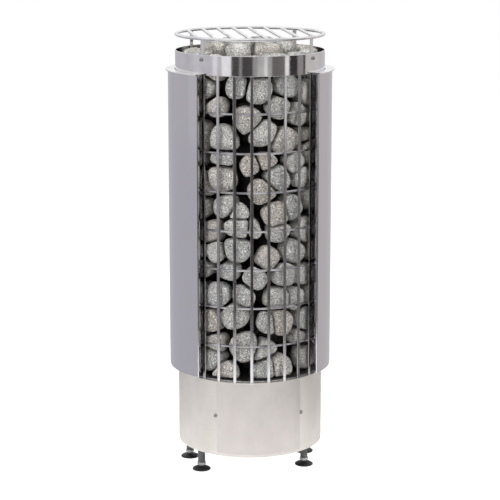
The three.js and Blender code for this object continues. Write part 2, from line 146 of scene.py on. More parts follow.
def shown(name, data, crease=35):
    """An object of that mesh, smooth but for edges sharper than the crease, in degrees."""
    data.polygons.foreach_set("use_smooth", [True] * len(data.polygons))
    data.set_sharp_from_angle(angle=math.radians(crease))
    piece = bpy.data.objects.new(name, data)
    bpy.context.scene.collection.objects.link(piece)
    return piece


def solid(name, shape, crease=35):
    """The object of a bmesh, with doubles merged and faces turned outwards."""
    bmesh.ops.remove_doubles(shape, verts=shape.verts, dist=1e-6)
    bmesh.ops.recalc_face_normals(shape, faces=shape.faces)
    data = bpy.data.meshes.new(name)
    shape.to_mesh(data)
    shape.free()
    return shown(name, data, crease)


def at_angle(radius, level, angle, middle=axis):
    """A point at an angle in radians from the front towards +X."""
    return middle + Vector((radius * math.sin(angle), -radius * math.cos(angle), level))


def ring_section(outside, inside, low, high):
    """The four corners of a ring's section."""
    return [(outside, low), (outside, high), (inside, high), (inside, low)]


def skinned(name, rings, whole=False, crease=35):
    """A body with faces from each ring of points to the next. Its two ends are closed, unless the
    whole goes round and the last ring meets the first."""
    shape = bmesh.new()
    rows = [[shape.verts.new(point) for point in ring] for ring in rings]
    for here, there in zip(rows, rows[1:] + rows[:1] if whole else rows[1:]):
        for i in range(len(here)):
            shape.faces.new((here[i - 1], here[i], there[i], there[i - 1]))
    if not whole:
        shape.faces.new(rows[0])
        shape.faces.new(rows[-1])
    return solid(name, shape, crease)


def turned(name, outline, middle=axis, sweep=(0, 360), steps=192):
    """A body of (radius, level) points turned about an upright axis, through a sweep in degrees."""
    first, last = sweep
    whole = last - first == 360
    rings = []
    for k in range(steps if whole else steps + 1):
        angle = math.radians(first + (last - first) * k / steps)
        rings.append([at_angle(radius, level, angle, middle) for radius, level in outline])
    return skinned(name, rings, whole)


def plain_mesh(piece):
    """The piece's mesh as its modifiers leave it."""
    evaluated = piece.evaluated_get(bpy.context.evaluated_depsgraph_get())
    return bpy.data.meshes.new_from_object(evaluated)


def cut_by(piece, tool, operation="DIFFERENCE"):
    """Cuts the piece with the tool's shape, and takes the tool away."""
    modifier = piece.modifiers.new("cut", "BOOLEAN")
    modifier.object = tool
    modifier.operation = operation
    modifier.solver = "EXACT"
    cut_mesh = plain_mesh(piece)
    piece.modifiers.remove(modifier)
    piece.data = cut_mesh
    bpy.data.objects.remove(tool)


base_corners = [
    (base_radius, base_low.z),
    (base_radius, base_high.z),
    (base_top_flange, base_high.z),
    (base_top_flange, base_high.z - sheet),
    (base_radius - sheet, base_high.z - sheet),
    (base_radius - sheet, base_low.z + sheet),
    (base_bottom_flange, base_low.z + sheet),
    (base_bottom_flange, base_low.z),
]
base_casing = turned("base_casing", rounded(base_corners, sheet_edge))
hole_outline = ring_section(front_hole_radius, 0, -front_hole_reach, front_hole_reach)
hole_tool = turned("hole_tool", hole_outline, Vector(), steps=24)
hole_place = at_angle(base_radius, base_high.z - front_hole_drop, 0)
towards_front = Matrix.Rotation(math.pi / 2, 4, "X")
hole_tool.data.transform(Matrix.Translation(hole_place) @ towards_front)
cut_by(base_casing, hole_tool)

# Stainless sheet with a ground finish: a soft wide shine, drawn out by fine lines round the base.
# The real lines are about 0.1 mm apart and are drawn at 1.5 mm so that they show.
ground_stainless = mottled(
    "ground_stainless_sheet",
    ("#E2DED9", "#D6D1CC"),
    clouds=(70, 70, 110),
    grain=(90, 90, 1.5),
    detail=4.0,
    gloss=(0.5, 0.62),
    depth=0.03,
    shader={"Metallic": 1.0, "Anisotropic": 0.3},
)
base_casing.data.materials.append(ground_stainless)
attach(base_casing, "heater")
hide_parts("base_shell", "base_top_ring")


# Blank foil plate
# A thin plate of aluminium foil with rounded corners and a lacquered face, stuck by its adhesive
# round the front of the base under the cage.
plate_half_angle = math.radians(35)
plate_low = base_low.z + 6 * MM
plate_high = base_high.z - 3 * MM
plate_corner = 4 * MM
plate_thickness = 0.25 * MM
plate_inside = base_radius + 0.05 * MM
plate_steps = 96


def wrapped_plate(name):
    """The thin plate, wrapped round the front with its corners rounded."""
    plate_outside = plate_inside + plate_thickness
    rings = []
    for k in range(plate_steps + 1):
        angle = plate_half_angle * (2 * k / plate_steps - 1)
        from_end = (plate_half_angle - abs(angle)) * plate_inside
        in_corner = max(0.0, plate_corner - from_end)
        inset = plate_corner - math.sqrt(max(0.0, plate_corner**2 - in_corner**2))
        section = ring_section(plate_outside, plate_inside, plate_low + inset, plate_high - inset)
        rings.append([at_angle(radius, level, angle) for radius, level in section])
    return skinned(name, rings)


# Lacquered aluminium foil: paler and more even than the sheet, with faint ripples.
aluminium_foil = mottled(
    "lacquered_aluminium_foil",
    ("#D0CAC7", "#C6C0BD"),
    clouds=(50, 50, 60),
    grain=(9, 9, 14),
    gloss=(0.4, 0.5),
    depth=0.04,
    shader={"Metallic": 1.0},
)
foil_plate = wrapped_plate("foil_plate")
foil_plate.data.materials.append(aluminium_foil)
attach(foil_plate, "heater")


# Base screws
# Zinc-plated pan-head screws with a cross recess, spaced evenly round the base. They hold the
# casing to the frame of the connection space.
head_radius = 4.5 * MM
head_height = 3 * MM
head_rim = 0.25
head_fullness = 0.6
head_steps = 8
recess_length = 5 * MM
recess_width = 1.1 * MM
recess_depth = 1.6 * MM


def node_tree(name, inputs):
    """An empty tree of geometry nodes with named inputs, and what it is given."""
    tree = bpy.data.node_groups.new(name, "GeometryNodeTree")
    tree.interface.new_socket("Geometry", in_out="INPUT", socket_type="NodeSocketGeometry")
    tree.interface.new_socket("Geometry", in_out="OUTPUT", socket_type="NodeSocketGeometry")
    for title, kind in inputs.items():
        tree.interface.new_socket(title, in_out="INPUT", socket_type="NodeSocket" + kind)
    return tree, add_node(tree, "NodeGroupInput").node.outputs


def end_tree(tree, instances, material):
    """Makes the instances real, gives them the material and ends the tree."""
    real = add_node(tree, "GeometryNodeRealizeInstances", {0: instances})
    coated = add_node(tree, "GeometryNodeSetMaterial", {"Geometry": real, "Material": material})
    add_node(tree, "NodeGroupOutput", {0: coated})


def grown(name, tree, values, start=None):
    """The plain mesh that the tree makes from its start and its named values."""
    carrier = bpy.data.objects.new(name + "_carrier", start or bpy.data.meshes.new(name))
    bpy.context.scene.collection.objects.link(carrier)
    modifier = carrier.modifiers.new(name, "NODES")
    modifier.node_group = tree
    for socket in tree.interface.items_tree:
        if socket.in_out == "INPUT" and socket.name in values:
            modifier[socket.identifier] = values[socket.name]
    data = plain_mesh(carrier)
    carrier.modifiers.remove(modifier)
    bpy.data.objects.remove(carrier)
    data.materials.clear()
    data.materials.append(values["Material"])
    data.polygons.foreach_set("material_index", [0] * len(data.polygons))
    return shown(name, data)


def copies_tree():
    """Copies of one piece, at points that each have a turn about the upright axis."""
    tree, given = node_tree("copies_round_an_axis", {"Piece": "Object", "Material": "Material"})
    turn = add_node(tree, "GeometryNodeInputNamedAttribute", {"Name": "turn"}, data_type="FLOAT")
    spin = add_node(tree, "ShaderNodeCombineXYZ", {"Z": turn})
    piece = add_node(tree, "GeometryNodeObjectInfo", {"Object": given["Piece"]}, "Geometry")
    sockets = {"Points": given["Geometry"], "Instance": piece, "Rotation": spin}
    copies = add_node(tree, "GeometryNodeInstanceOnPoints", sockets)
    end_tree(tree, copies, given["Material"])
    return tree


copies = copies_tree()


def at_turns(name, piece, turns, material, places=None):
    """Copies of a piece that was built at the front, one for each turn in radians, on the axis or
    at their own places. The piece is taken away."""
    points = bpy.data.meshes.new("points")
    points.from_pydata(places or [axis] * len(turns), [], [])
    points.attributes.new("turn", "FLOAT", "POINT").data.foreach_set("value", turns)
    made = grown(name, copies, {"Piece": piece, "Material": material}, points)
    bpy.data.objects.remove(piece)
    return made


def pan_head(name, radius, level):
    """One screw head against a wall at the front, about an axis through the origin."""
    dome = [(0, 0), (head_radius, 0)]
    for k in range(head_steps + 1):
        lift = k / head_steps * math.pi / 2
        height = head_height * (head_rim + (1 - head_rim) * math.sin(lift))
        dome.append((head_radius * math.cos(lift) ** head_fullness, height))
    head = turned(name, dome, Vector(), steps=40)
    for side, across in ((recess_length, recess_width), (recess_width, recess_length)):
        slot_shape = bmesh.new()
        bmesh.ops.create_cube(slot_shape, size=1)
        slot_size = Matrix.Diagonal((side, across, 2 * recess_depth, 1))
        in_head = Matrix.Translation((0, 0, head_height)) @ slot_size
        bmesh.ops.transform(slot_shape, matrix=in_head, verts=slot_shape.verts)
        cut_by(head, solid("slot", slot_shape))
    head.data.transform(Matrix.Translation((0, -radius, level)) @ towards_front)
    return head


def zinc_plate(name, light, dark):
    """Bright zinc plating on steel: a cool satin grey, cloudy in patches of a few millimetres."""
    return mottled(
        name,
        (light, dark),
        clouds=(5, 5, 5),
        grain=(0.8, 0.8, 0.8),
        gloss=(0.28, 0.45),
        depth=0.02,
        shader={"Metallic": 1.0},
        patchy=True,
    )


zinc = zinc_plate("bright_zinc_plated_steel", "#B4B4B2", "#8C8D8D")
base_screw_nodes = [f"base_screw_{i}" for i in range(1, 6)]
screw_step = math.tau / len(base_screw_nodes)
base_screw_turns = [(i + 0.5) * screw_step for i in range(len(base_screw_nodes))]
screw_low, screw_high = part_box(base_screw_nodes[0])
base_screw = pan_head("base_screw", base_radius, (screw_low.z + screw_high.z) / 2)
base_screws = at_turns("base_screws", base_screw, base_screw_turns, zinc)
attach(base_screws, "heater")
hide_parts(*base_screw_nodes)


# Connection space
# Zinc-plated pressings, the floor with its inlet plate, the elements' holder and the grate under
# the stones, with a nylon cable gland and a ceramic mains terminal block. They keep the frame's
# shapes.
def moulded_nylon(name, light, dark, roughness):
    """Injection-moulded nylon: an even colour with a fine spark-eroded grain."""
    return mottled(
        name,
        (light, dark),
        clouds=(12, 12, 12),
        grain=(0.7, 0.7, 0.7),
        gloss=(roughness - 0.08, roughness + 0.08),
        depth=0.03,
        shader={"IOR": 1.5},
    )


def steatite():
    """Glazed steatite: an off-white ceramic with faint speckles and a low gloss."""
    made, tree = new_material("glazed_steatite")
    place = add_node(tree, "ShaderNodeTexCoord", output="Object")
    sockets = {"Vector": place, "Scale": 1 / (1.5 * MM), "Detail": 5.0}
    specks = add_node(tree, "ShaderNodeTexNoise", sockets)
    sockets = {"Value": specks, "From Min": 0.55, "From Max": 0.7}
    amount = add_node(tree, "ShaderNodeMapRange", sockets)
    sockets = {0: amount, 6: linear("#E6E2D8"), 7: linear("#CFC8BA")}
    colour = add_node(tree, "ShaderNodeMix", sockets, 2, data_type="RGBA")
    sockets = {"Value": specks, "From Min": 0.3, "From Max": 0.7, "To Min": 0.35, "To Max": 0.5}
    roughness = add_node(tree, "ShaderNodeMapRange", sockets)
    sockets = {"Base Color": colour, "Roughness": roughness, "IOR": 1.55}
    surface = add_node(tree, "ShaderNodeBsdfPrincipled", sockets)
    add_node(tree, "ShaderNodeOutputMaterial", {"Surface": surface})
    return made


def coat(material, *nodes):
    """Gives nodes of the frame a material."""
    for node in nodes:
        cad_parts[node].data.materials.clear()
        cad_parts[node].data.materials.append(material)


black_nylon = moulded_nylon("moulded_black_nylon", "#262626", "#1B1B1B", 0.5)
coat(black_nylon, "cable_gland", "gland_nut")
coat(steatite(), "terminal_block")
coat(zinc, "base_floor_plate", "inlet_plate", "element_holder", "stone_grate")


# Heating elements
# Hairpin tubes of heat-resistant steel that stand among the stones, held at their lower ends.
# Glowing has left a dark oxide on them, brown and grey in bands.
oxidised_steel = mottled(
    "oxidised_heat_resistant_steel",
    ("#5A524B", "#3D3B3B"),
    clouds=(40, 40, 25),
    grain=(1.2, 1.2, 1.2),
    detail=4.0,
    gloss=(0.5, 0.75),
    depth=0.06,
    shader={"Metallic": 1.0},
)
coat(oxidised_steel, "heating_element_1", "heating_element_2", "heating_element_3")


# Cage bars
# Flat bars of polished stainless steel round the stones, with their edges broken, welded at the
# top to a hoop behind the collar. They stand on the base's flange.
cage_low, cage_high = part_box("stone_cage")
bar_count = 27
bar_width = 6.5 * MM
bar_thickness = 2.5 * MM
bar_radius = 157 * MM
bar_edge = 0.7 * MM
hoop_radius = 157.2 * MM
hoop_wall = 1.3 * MM
hoop_edge = 0.3 * MM
hoop_low = cage_high.z - 11 * MM
hoop_high = hoop_low + 9 * MM


def extruded(name, outline, low, high):
    """A prism with an outline of (x, y) points."""
    return skinned(name, [[(x, y, level) for x, y in outline] for level in (low, high)])


def joined(name, *pieces):
    """One object of several, which are taken away."""
    shape = bmesh.new()
    materials = []
    for piece in pieces:
        first = len(shape.faces)
        shape.from_mesh(piece.data)
        shape.faces.ensure_lookup_table()
        material = piece.data.materials[0]
        if material not in materials:
            materials.append(material)
        for face in shape.faces[first:]:
            face.material_index = materials.index(material)
        bpy.data.objects.remove(piece)
    data = bpy.data.meshes.new(name)
    shape.to_mesh(data)
    shape.free()
    for material in materials:
        data.materials.append(material)
    return shown(name, data)


def polished_stainless(name, colour, haze, wave, grain=(60, 60, 1.2)):
    """Stainless steel polished to a mirror: sharp reflections, a little hazed by the last lines of
    polishing and bent by the sheet's slow waves. The lines are drawn coarser than they are."""
    return mottled(
        name,
        (colour, "#D0CED1"),
        clouds=(45, 45, 70),
        grain=grain,
        detail=3.0,
        gloss=(haze * 0.7, haze * 1.4),
        depth=0.004,
        shader={"Metallic": 1.0},
        wave=wave,
    )


bar_corners = [
    (-bar_width / 2, -bar_radius),
    (bar_width / 2, -bar_radius),
    (bar_width / 2, -bar_radius + bar_thickness),
    (-bar_width / 2, -bar_radius + bar_thickness),
]
bar = extruded("bar", rounded(bar_corners, bar_edge, 3), cage_low.z, cage_high.z)
bar_turns = [(i + 0.5) * math.tau / bar_count for i in range(bar_count)]
bar_steel = polished_stainless("polished_stainless_bar", "#B4B2B5", 0.14, 0.05, (8, 8, 200))
bars = at_turns("bars", bar, bar_turns, bar_steel)
hoop_corners = ring_section(hoop_radius, hoop_radius - hoop_wall, hoop_low, hoop_high)
hoop = turned("hoop", rounded(hoop_corners, hoop_edge, 2))
hoop.data.materials.append(bar_steel)
cage_bars = joined("cage_bars", bars, hoop)
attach(cage_bars, "heater")
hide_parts("stone_cage")


# Cage rings
# Hoops of drawn stainless wire inside the bars, spot-welded to every bar so that the stones
# can't push between them.
ring_nodes = [f"cage_ring_{i}" for i in range(1, 8)]
ring_wire = 5 * MM
ring_radius = 151.7 * MM
first_ring_low, first_ring_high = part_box(ring_nodes[0])
last_ring_low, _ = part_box(ring_nodes[-1])
first_ring_level = (first_ring_low.z + first_ring_high.z) / 2
ring_pitch = (last_ring_low.z - first_ring_low.z) / (len(ring_nodes) - 1)


def ring_tree(name, sides, steps):
    """The start of a tree that makes a ring of rod: the tree, what it is given, the ring and half
    the rod."""
    sizes = {"Count": "Int", "Pitch": "Float", "Ring Radius": "Float", "Rod": "Float"}
    tree, given = node_tree(name, {**sizes, "Material": "Material"})
    half_rod = add_node(tree, "ShaderNodeMath", {0: given["Rod"], 1: 2.0}, operation="DIVIDE")
    sockets = {"Resolution": sides, "Radius": half_rod}
    section = add_node(tree, "GeometryNodeCurvePrimitiveCircle", sockets)
    sockets = {"Resolution": steps, "Radius": given["Ring Radius"]}
    path = add_node(tree, "GeometryNodeCurvePrimitiveCircle", sockets)
    sockets = {"Curve": path, "Profile Curve": section}
    return tree, given, add_node(tree, "GeometryNodeCurveToMesh", sockets), half_rod


def wire_rings_tree():
    """A stack of wire rings at an even pitch."""
    tree, given, ring, _ = ring_tree("wire_rings", sides=12, steps=162)
    step = add_node(tree, "ShaderNodeCombineXYZ", {"Z": given["Pitch"]})
    sockets = {"Count": given["Count"], "Offset": step}
    levels = add_node(tree, "GeometryNodeMeshLine", sockets)
    sockets = {"Points": levels, "Instance": ring}
    stack = add_node(tree, "GeometryNodeInstanceOnPoints", sockets)
    end_tree(tree, stack, given["Material"])
    return tree


# The wire's colour is much darker than the other polished steel: painted shade for the rings that
# lie in shade behind the bars, among the stones.
ring_values = {
    "Count": len(ring_nodes),
    "Pitch": ring_pitch,
    "Ring Radius": ring_radius,
    "Rod": ring_wire,
    "Material": polished_stainless("drawn_stainless_wire_painted_shade", "#77757A", 0.22, 0.02),
}
cage_rings = grown("cage_rings", wire_rings_tree(), ring_values)
cage_rings.data.transform(Matrix.Translation(axis + Vector((0, 0, first_ring_level))))
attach(cage_rings, "heater")
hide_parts(*ring_nodes)


# Stones
# Tumbled grey diabase and olivine stones of 45 to 65 mm, packed by hand round the elements and
# heaped in the collar. Each is a rounded cell between its neighbours, the cage and the grate.
_, grate_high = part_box("stone_grate")
collar_low, collar_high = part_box("collar")
stone_rows = 14
stones_per_row = 14
rows_per_course = 2
grate_gap = 0.3 * MM
cage_gap = 0.6 * MM
stone_floor = grate_high.z + grate_gap
row_pitch = (collar_high.z - stone_floor) / stone_rows
stone_wall = (ring_radius - ring_wire / 2) * math.cos(math.pi / bar_count) - cage_gap
stone_inside = 98 * MM
stone_ring = 125 * MM
largest_stone = 42 * MM
neighbour_reach = 4 * largest_stone
stone_gap = 0.4 * MM
bulk_spread = 0.8
step_spread = 0.7
lift_spread = 0.6
radius_spread = 12 * MM
roundness = 5.0
dent_size, dent_depth = 22 * MM, 3 * MM
skin_size, skin_depth = 6 * MM, 0.7 * MM
skin_shift = 3.7
seen_angle = 75
lit_depth = 25 * MM
unlit_depth = 50 * MM
top_row_rise = 4 * MM
heap_rings = [(8, 82 * MM), (3, 30 * MM)]
heap_top = collar_high.z + 22 * MM
heap_floor = collar_high.z - 66 * MM
heap_middle = heap_top - 30 * MM
heap_lift_spread = 8 * MM
heap_ring_rise = 4 * MM
hidden_step_spread = 0.3
inner_count = 9
inner_radius = 68 * MM
inner_inside = 50 * MM
inner_outside = 84 * MM


def scatter(n):
    """Even scatter from 0 to 1, the same at every run."""
    wave = math.sin(n * 12.9898) * 43758.5453
    return wave - math.floor(wave)


def stone_seed(index, row, turn, radius, level, kind):
    """Where one stone lies, how bulky it is and how far round from the front."""
    angle = math.tau * turn
    return {
        "index": index,
        "row": row,
        "middle": Vector((radius * math.sin(angle), -radius * math.cos(angle), level)),
        "bulk": 1 + bulk_spread * (scatter(index + 0.75) - 0.5),
        "from_front": abs((turn + 0.5) % 1 - 0.5) * 360,
        "kind": kind,
    }


def stone_seeds():
    """The outer stones row by row, the heap above them, and the ones behind the outer stones."""
    seeds = []
    for row in range(stone_rows):
        for i in range(stones_per_row):
            index = row * stones_per_row + i
            step = i + 0.5 * (row % 2) + step_spread * (scatter(index) - 0.5)
            radius = stone_ring + radius_spread * (scatter(index + 0.25) - 0.5)
            lift = row + 0.5 + lift_spread * (scatter(index + 0.5) - 0.5)
            level = stone_floor + lift * row_pitch
            turn = (step + 1) / stones_per_row
            seeds.append(stone_seed(index, row, turn, radius, level, "outer"))
    for ring, (count, radius) in enumerate(heap_rings):
        for i in range(count):
            index = len(seeds)
            turn = (i + 0.5 + hidden_step_spread * (scatter(index) - 0.5)) / count
            rise = heap_lift_spread * (scatter(index + 0.5) - 0.5) + heap_ring_rise * ring
            level = heap_middle + rise
            seeds.append(stone_seed(index, stone_rows - 1, turn, radius, level, "heap"))
    for row in range(stone_rows - 1):
        for i in range(inner_count):
            index = len(seeds)
            step = i + 0.5 * (row % 2) + hidden_step_spread * (scatter(index) - 0.5)
            level = stone_floor + (row + 0.5) * row_pitch
            seeds.append(stone_seed(index, row, step / inner_count, inner_radius, level, "inner"))
    return seeds


def stone_limits(stone, seeds):
    """The flat limits of one stone: its share of the way to a neighbour, and what holds it in."""
    limits = []
    inner = stone["kind"] == "inner"
    heaped = stone["kind"] == "heap"
    for other in seeds:
        if other is stone or (other["kind"] == "inner") != inner:
            continue
        apart = other["middle"] - stone["middle"]
        distance = apart.length
        if distance < neighbour_reach:
            share = distance * stone["bulk"] / (stone["bulk"] + other["bulk"])
            limits.append((apart / distance, share - stone_gap / 2))
    x, y, z = stone["middle"]
    radius = math.hypot(x, y)
    out = Vector((x, y, 0)) / radius
    limits.append((out, (inner_outside if inner else stone_wall) - radius))
    if not heaped:
        limits.append((-out, radius - (inner_inside if inner else stone_inside)))
    limits.append((Vector((0, 0, -1)), z - (heap_floor if heaped else stone_floor)))
    top = heap_top if heaped else collar_high.z + top_row_rise
    limits.append((Vector((0, 0, 1)), top - z))
    return limits


def add_stone(shape, tone, gloom, stone, limits):
    """One stone: a ball pressed against its limits, with slow dents and a fine rough skin. Gloom
    grows with the depth behind the bars, but for the stones on top."""
    on_top = stone["row"] == stone_rows - 1
    seen = on_top or stone["from_front"] < seen_angle
    fineness = 2 if stone["kind"] == "inner" else 4 if seen else 3
    ball = bmesh.ops.create_icosphere(shape, subdivisions=fineness, radius=1)["verts"]
    shift = Vector((stone["index"] * skin_shift, 0, 0))
    for vert in ball:
        direction = vert.co.normalized()
        fullness = largest_stone**-roundness
        for normal, distance in limits:
            fullness += max(0.0, direction.dot(normal) / distance) ** roundness
        reach = fullness ** (-1 / roundness)
        place = direction * reach
        reach -= dent_depth * (0.5 + 0.5 * noise.noise(place / dent_size + shift))
        reach -= skin_depth * (0.5 + 0.5 * noise.noise(place / skin_size + shift))
        vert.co = stone["middle"] + axis + direction * reach
        vert[tone] = scatter(stone["index"] + 0.1)
        depth = stone_wall - math.hypot(vert.co.x - axis.x, vert.co.y - axis.y)
        if not on_top:
            vert[gloom] = min(1.0, max(0.0, (depth - lit_depth) / (unlit_depth - lit_depth)))


def diabase():
    """Tumbled diabase and olivine: a matt grey stone with a pepper of dark and pale crystals 2 to
    4 mm across. Each stone has its own shade, from blue-grey to a warm beige grey, and the sides
    that face into the pile are darkened, for the light that is lost among the stones."""
    made, tree = new_material("tumbled_diabase_stone")
    own = add_node(tree, "ShaderNodeAttribute", output="Fac", attribute_name="tone")
    gloom = add_node(tree, "ShaderNodeAttribute", output="Fac", attribute_name="gloom")
    colour = add_node(tree, "ShaderNodeValToRGB", {"Fac": own})
    steps = colour.node.color_ramp.elements
    shades = ["#A4A5A6", "#C2C1BD", "#A6A6A5", "#BDB5AA", "#B0A49A", "#CFCECA"]
    while len(steps) < len(shades):
        steps.new(0.5)
    for step, position, shade in zip(steps, (0.0, 0.25, 0.5, 0.7, 0.85, 1.0), shades):
        step.position = position
        step.color = linear(shade)
    place = add_node(tree, "ShaderNodeTexCoord", output="Object")
    sockets = {"Vector": place, "Scale": 1 / (16 * MM), "Detail": 3.0}
    clouds = add_node(tree, "ShaderNodeTexNoise", sockets)
    sockets = {"Vector": place, "Scale": 1 / (3 * MM), "Detail": 4.0}
    crystals = add_node(tree, "ShaderNodeTexNoise", sockets)
    sockets = {"Vector": place, "Location": (7, 3, 5), "Scale": [1 / (1.9 * MM)] * 3}
    moved = add_node(tree, "ShaderNodeMapping", sockets)
    sockets = {"Vector": moved, "Scale": 1.0, "Detail": 2.0}
    pepper = add_node(tree, "ShaderNodeTexNoise", sockets)
    for field, start, end, most, shade in (
        (clouds, 0.3, 0.7, 0.6, "#8A8985"),
        (crystals, 0.5, 0.62, 0.9, "#ECEBE6"),
        (pepper, 0.52, 0.62, 0.9, "#333231"),
        (gloom, 0.0, 1.0, 1.0, "#1E1D1C"),
    ):
        sockets = {"Value": field, "From Min": start, "From Max": end, "To Max": most}
        amount = add_node(tree, "ShaderNodeMapRange", sockets)
        sockets = {0: amount, 6: colour, 7: linear(shade)}
        colour = add_node(tree, "ShaderNodeMix", sockets, 2, data_type="RGBA")
    sockets = {"Value": crystals, "From Min": 0.3, "From Max": 0.7, "To Min": 0.75, "To Max": 0.95}
    roughness = add_node(tree, "ShaderNodeMapRange", sockets)
    normal = add_node(tree, "ShaderNodeBump", {"Height": clouds, "Distance": 0.8 * MM})
    sockets = {"Height": crystals, "Distance": 0.35 * MM, "Normal": normal}
    normal = add_node(tree, "ShaderNodeBump", sockets)
    sockets = {"Base Color": colour, "Roughness": roughness, "IOR": 1.5, "Normal": normal}
    surface = add_node(tree, "ShaderNodeBsdfPrincipled", sockets)
    add_node(tree, "ShaderNodeOutputMaterial", {"Surface": surface})
    return made


stone_material = diabase()
seeds = stone_seeds()
for course in range(stone_rows // rows_per_course):
    pile = bmesh.new()
    tone = pile.verts.layers.float.new("tone")
    gloom = pile.verts.layers.float.new("gloom")
    for stone in seeds:
        if stone["row"] // rows_per_course == course:
            add_stone(pile, tone, gloom, stone, stone_limits(stone, seeds))
    stone_mesh = bpy.data.meshes.new(f"stones_{course + 1}")
    pile.to_mesh(stone_mesh)
    pile.free()
    stones = shown(f"stones_{course + 1}", stone_mesh, crease=80)
    stones.data.materials.append(stone_material)
    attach(stones, "heater")
    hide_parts(f"stone_course_{course + 1}")


# Collar
# A band of mirror-polished stainless steel round the top of the cage, with its edges rounded
# off. It hides the ends of the bars and holds the heap of stones in.
collar_radius = (collar_high.x - collar_low.x) / 2
collar_inside = collar_radius - 2 * MM
collar_edge = 0.8 * MM
collar_corners = ring_section(collar_radius, collar_inside, collar_low.z, collar_high.z)
collar = turned("collar_band", rounded(collar_corners, collar_edge), steps=256)
# Its colour is paler than the jacket's polished sheet: painted light, which brightens its
# reflections as a stronger light would. The guard's legs and the rim plate share it.
mirror_steel_painted_light = polished_stainless("mirror_polished_stainless_painted_light", "#E6E4E6", 0.1, 0.15)
collar.data.materials.append(mirror_steel_painted_light)
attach(collar, "heater")
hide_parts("collar")


# Guard screws
# Four zinc-plated pan-head screws through the collar. The forked legs of the guard hang over
# their shanks and are clamped by them.
guard_leg_angles = [math.radians(angle) for angle in (47, 133, 227, 313)]
guard_screw_nodes = [f"guard_screw_{i}" for i in range(1, 5)]
guard_screw_low, guard_screw_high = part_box(guard_screw_nodes[0])
guard_screw_level = (guard_screw_low.z + guard_screw_high.z) / 2
guard_screw = pan_head("guard_screw", collar_radius, guard_screw_level)
guard_screws = at_turns("guard_screws", guard_screw, guard_leg_angles, zinc)
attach(guard_screws, "heater")
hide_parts(*guard_screw_nodes)


# Guard
# A ring of bright round steel rod with rods welded across it from front to back, on four flat
# legs that fork over the collar's screws. It lifts off so that stones can be laid in.
guard_low, guard_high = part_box("top_guard")
guard_rod = 7 * MM
guard_radius = 157 * MM
guard_level = guard_high.z - guard_rod / 2
guard_rod_count = 8
guard_rod_pitch = 35 * MM
leg_width = 9.5 * MM
leg_thickness = 2 * MM
leg_slot = 2.8 * MM
slot_steps = 8
leg_face = collar_inside - 1.2 * MM


def guard_rods_tree():
    """A rod ring with straight rods across it, each as long as its chord."""
    tree, given, ring, half_rod = ring_tree("guard_rods", sides=20, steps=160)
    ring_size = given["Ring Radius"]
    sockets = {"Vertices": 20, "Side Segments": 1, "Radius": half_rod, "Depth": 2.0}
    rod = add_node(tree, "GeometryNodeMeshCylinder", sockets)
    steps = add_node(tree, "ShaderNodeMath", {0: given["Count"], 1: 1.0}, operation="SUBTRACT")
    width = add_node(tree, "ShaderNodeMath", {0: steps, 1: given["Pitch"]}, operation="MULTIPLY")
    left = add_node(tree, "ShaderNodeMath", {0: width, 1: -0.5}, operation="MULTIPLY")
    start = add_node(tree, "ShaderNodeCombineXYZ", {"X": left})
    step = add_node(tree, "ShaderNodeCombineXYZ", {"X": given["Pitch"]})
    sockets = {"Count": given["Count"], "Start Location": start, "Offset": step}
    places = add_node(tree, "GeometryNodeMeshLine", sockets)
    position = add_node(tree, "GeometryNodeInputPosition")
    across = add_node(tree, "ShaderNodeSeparateXYZ", {0: position}, "X")
    share = add_node(tree, "ShaderNodeMath", {0: across, 1: ring_size}, operation="DIVIDE")
    square = add_node(tree, "ShaderNodeMath", {0: share, 1: share}, operation="MULTIPLY")
    rest = add_node(tree, "ShaderNodeMath", {0: 1.0, 1: square}, operation="SUBTRACT")
    root = add_node(tree, "ShaderNodeMath", {0: rest}, operation="SQRT")
    half_chord = add_node(tree, "ShaderNodeMath", {0: root, 1: ring_size}, operation="MULTIPLY")
    stretch = add_node(tree, "ShaderNodeCombineXYZ", {"X": 1.0, "Y": 1.0, "Z": half_chord})
    lying = (math.pi / 2, 0, 0)
    sockets = {"Points": places, "Instance": rod, "Rotation": lying, "Scale": stretch}
    rods = add_node(tree, "GeometryNodeInstanceOnPoints", sockets)
    both = add_node(tree, "GeometryNodeJoinGeometry", {0: ring})
    tree.links.new(rods, both.node.inputs[0])
    end_tree(tree, both, given["Material"])
    return tree


def guard_leg():
    """One flat leg at the front, with a fork at its foot for the screw."""
    half = leg_width / 2
    foot = guard_low.z
    outline = [(half, foot), (half, guard_level), (-half, guard_level), (-half, foot)]
    outline.append((-leg_slot, foot))
    for k in range(slot_steps + 1):
        arch = math.pi * k / slot_steps
        lift = leg_slot * math.sin(arch)
        outline.append((-leg_slot * math.cos(arch), guard_screw_level + lift))
    outline.append((leg_slot, foot))
    leg = extruded("leg", outline, -leg_thickness / 2, leg_thickness / 2)
    in_collar = Matrix.Translation((0, -leg_face + leg_thickness / 2, 0))
    leg.data.transform(in_collar @ towards_front)
    return leg


# The rod's colour is paler than the other polished steel: painted light for the light from above
# that washes the guard out.
rod_values = {
    "Count": guard_rod_count,
    "Pitch": guard_rod_pitch,
    "Ring Radius": guard_radius,
    "Rod": guard_rod,
    "Material": polished_stainless("drawn_steel_rod_painted_light", "#F2F1F1", 0.2, 0.02),
}
guard_rods = grown("guard_rods", guard_rods_tree(), rod_values)
guard_rods.data.transform(Matrix.Translation(axis + Vector((0, 0, guard_level))))
guard_legs = at_turns("guard_legs", guard_leg(), guard_leg_angles, mirror_steel_painted_light)
guard = joined("rod_guard", guard_rods, guard_legs)
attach(guard, "guard")
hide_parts("top_guard")


# Jacket
# A sheet of polished stainless steel bent round the sides and back, with its two upright edges
# turned in to stiffen them. Brackets hold it off the cage, so that air rises between them.
jacket_low, jacket_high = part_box("jacket")
jacket_radius = (jacket_high.x - jacket_low.x) / 2
jacket_opening = 46.8
jacket_return = 7.5 * MM
jacket_bend = 1.6 * MM
jacket_border = 1 * MM
jacket_edge = 0.3 * MM
jacket_steps = 220
bend_steps = 4


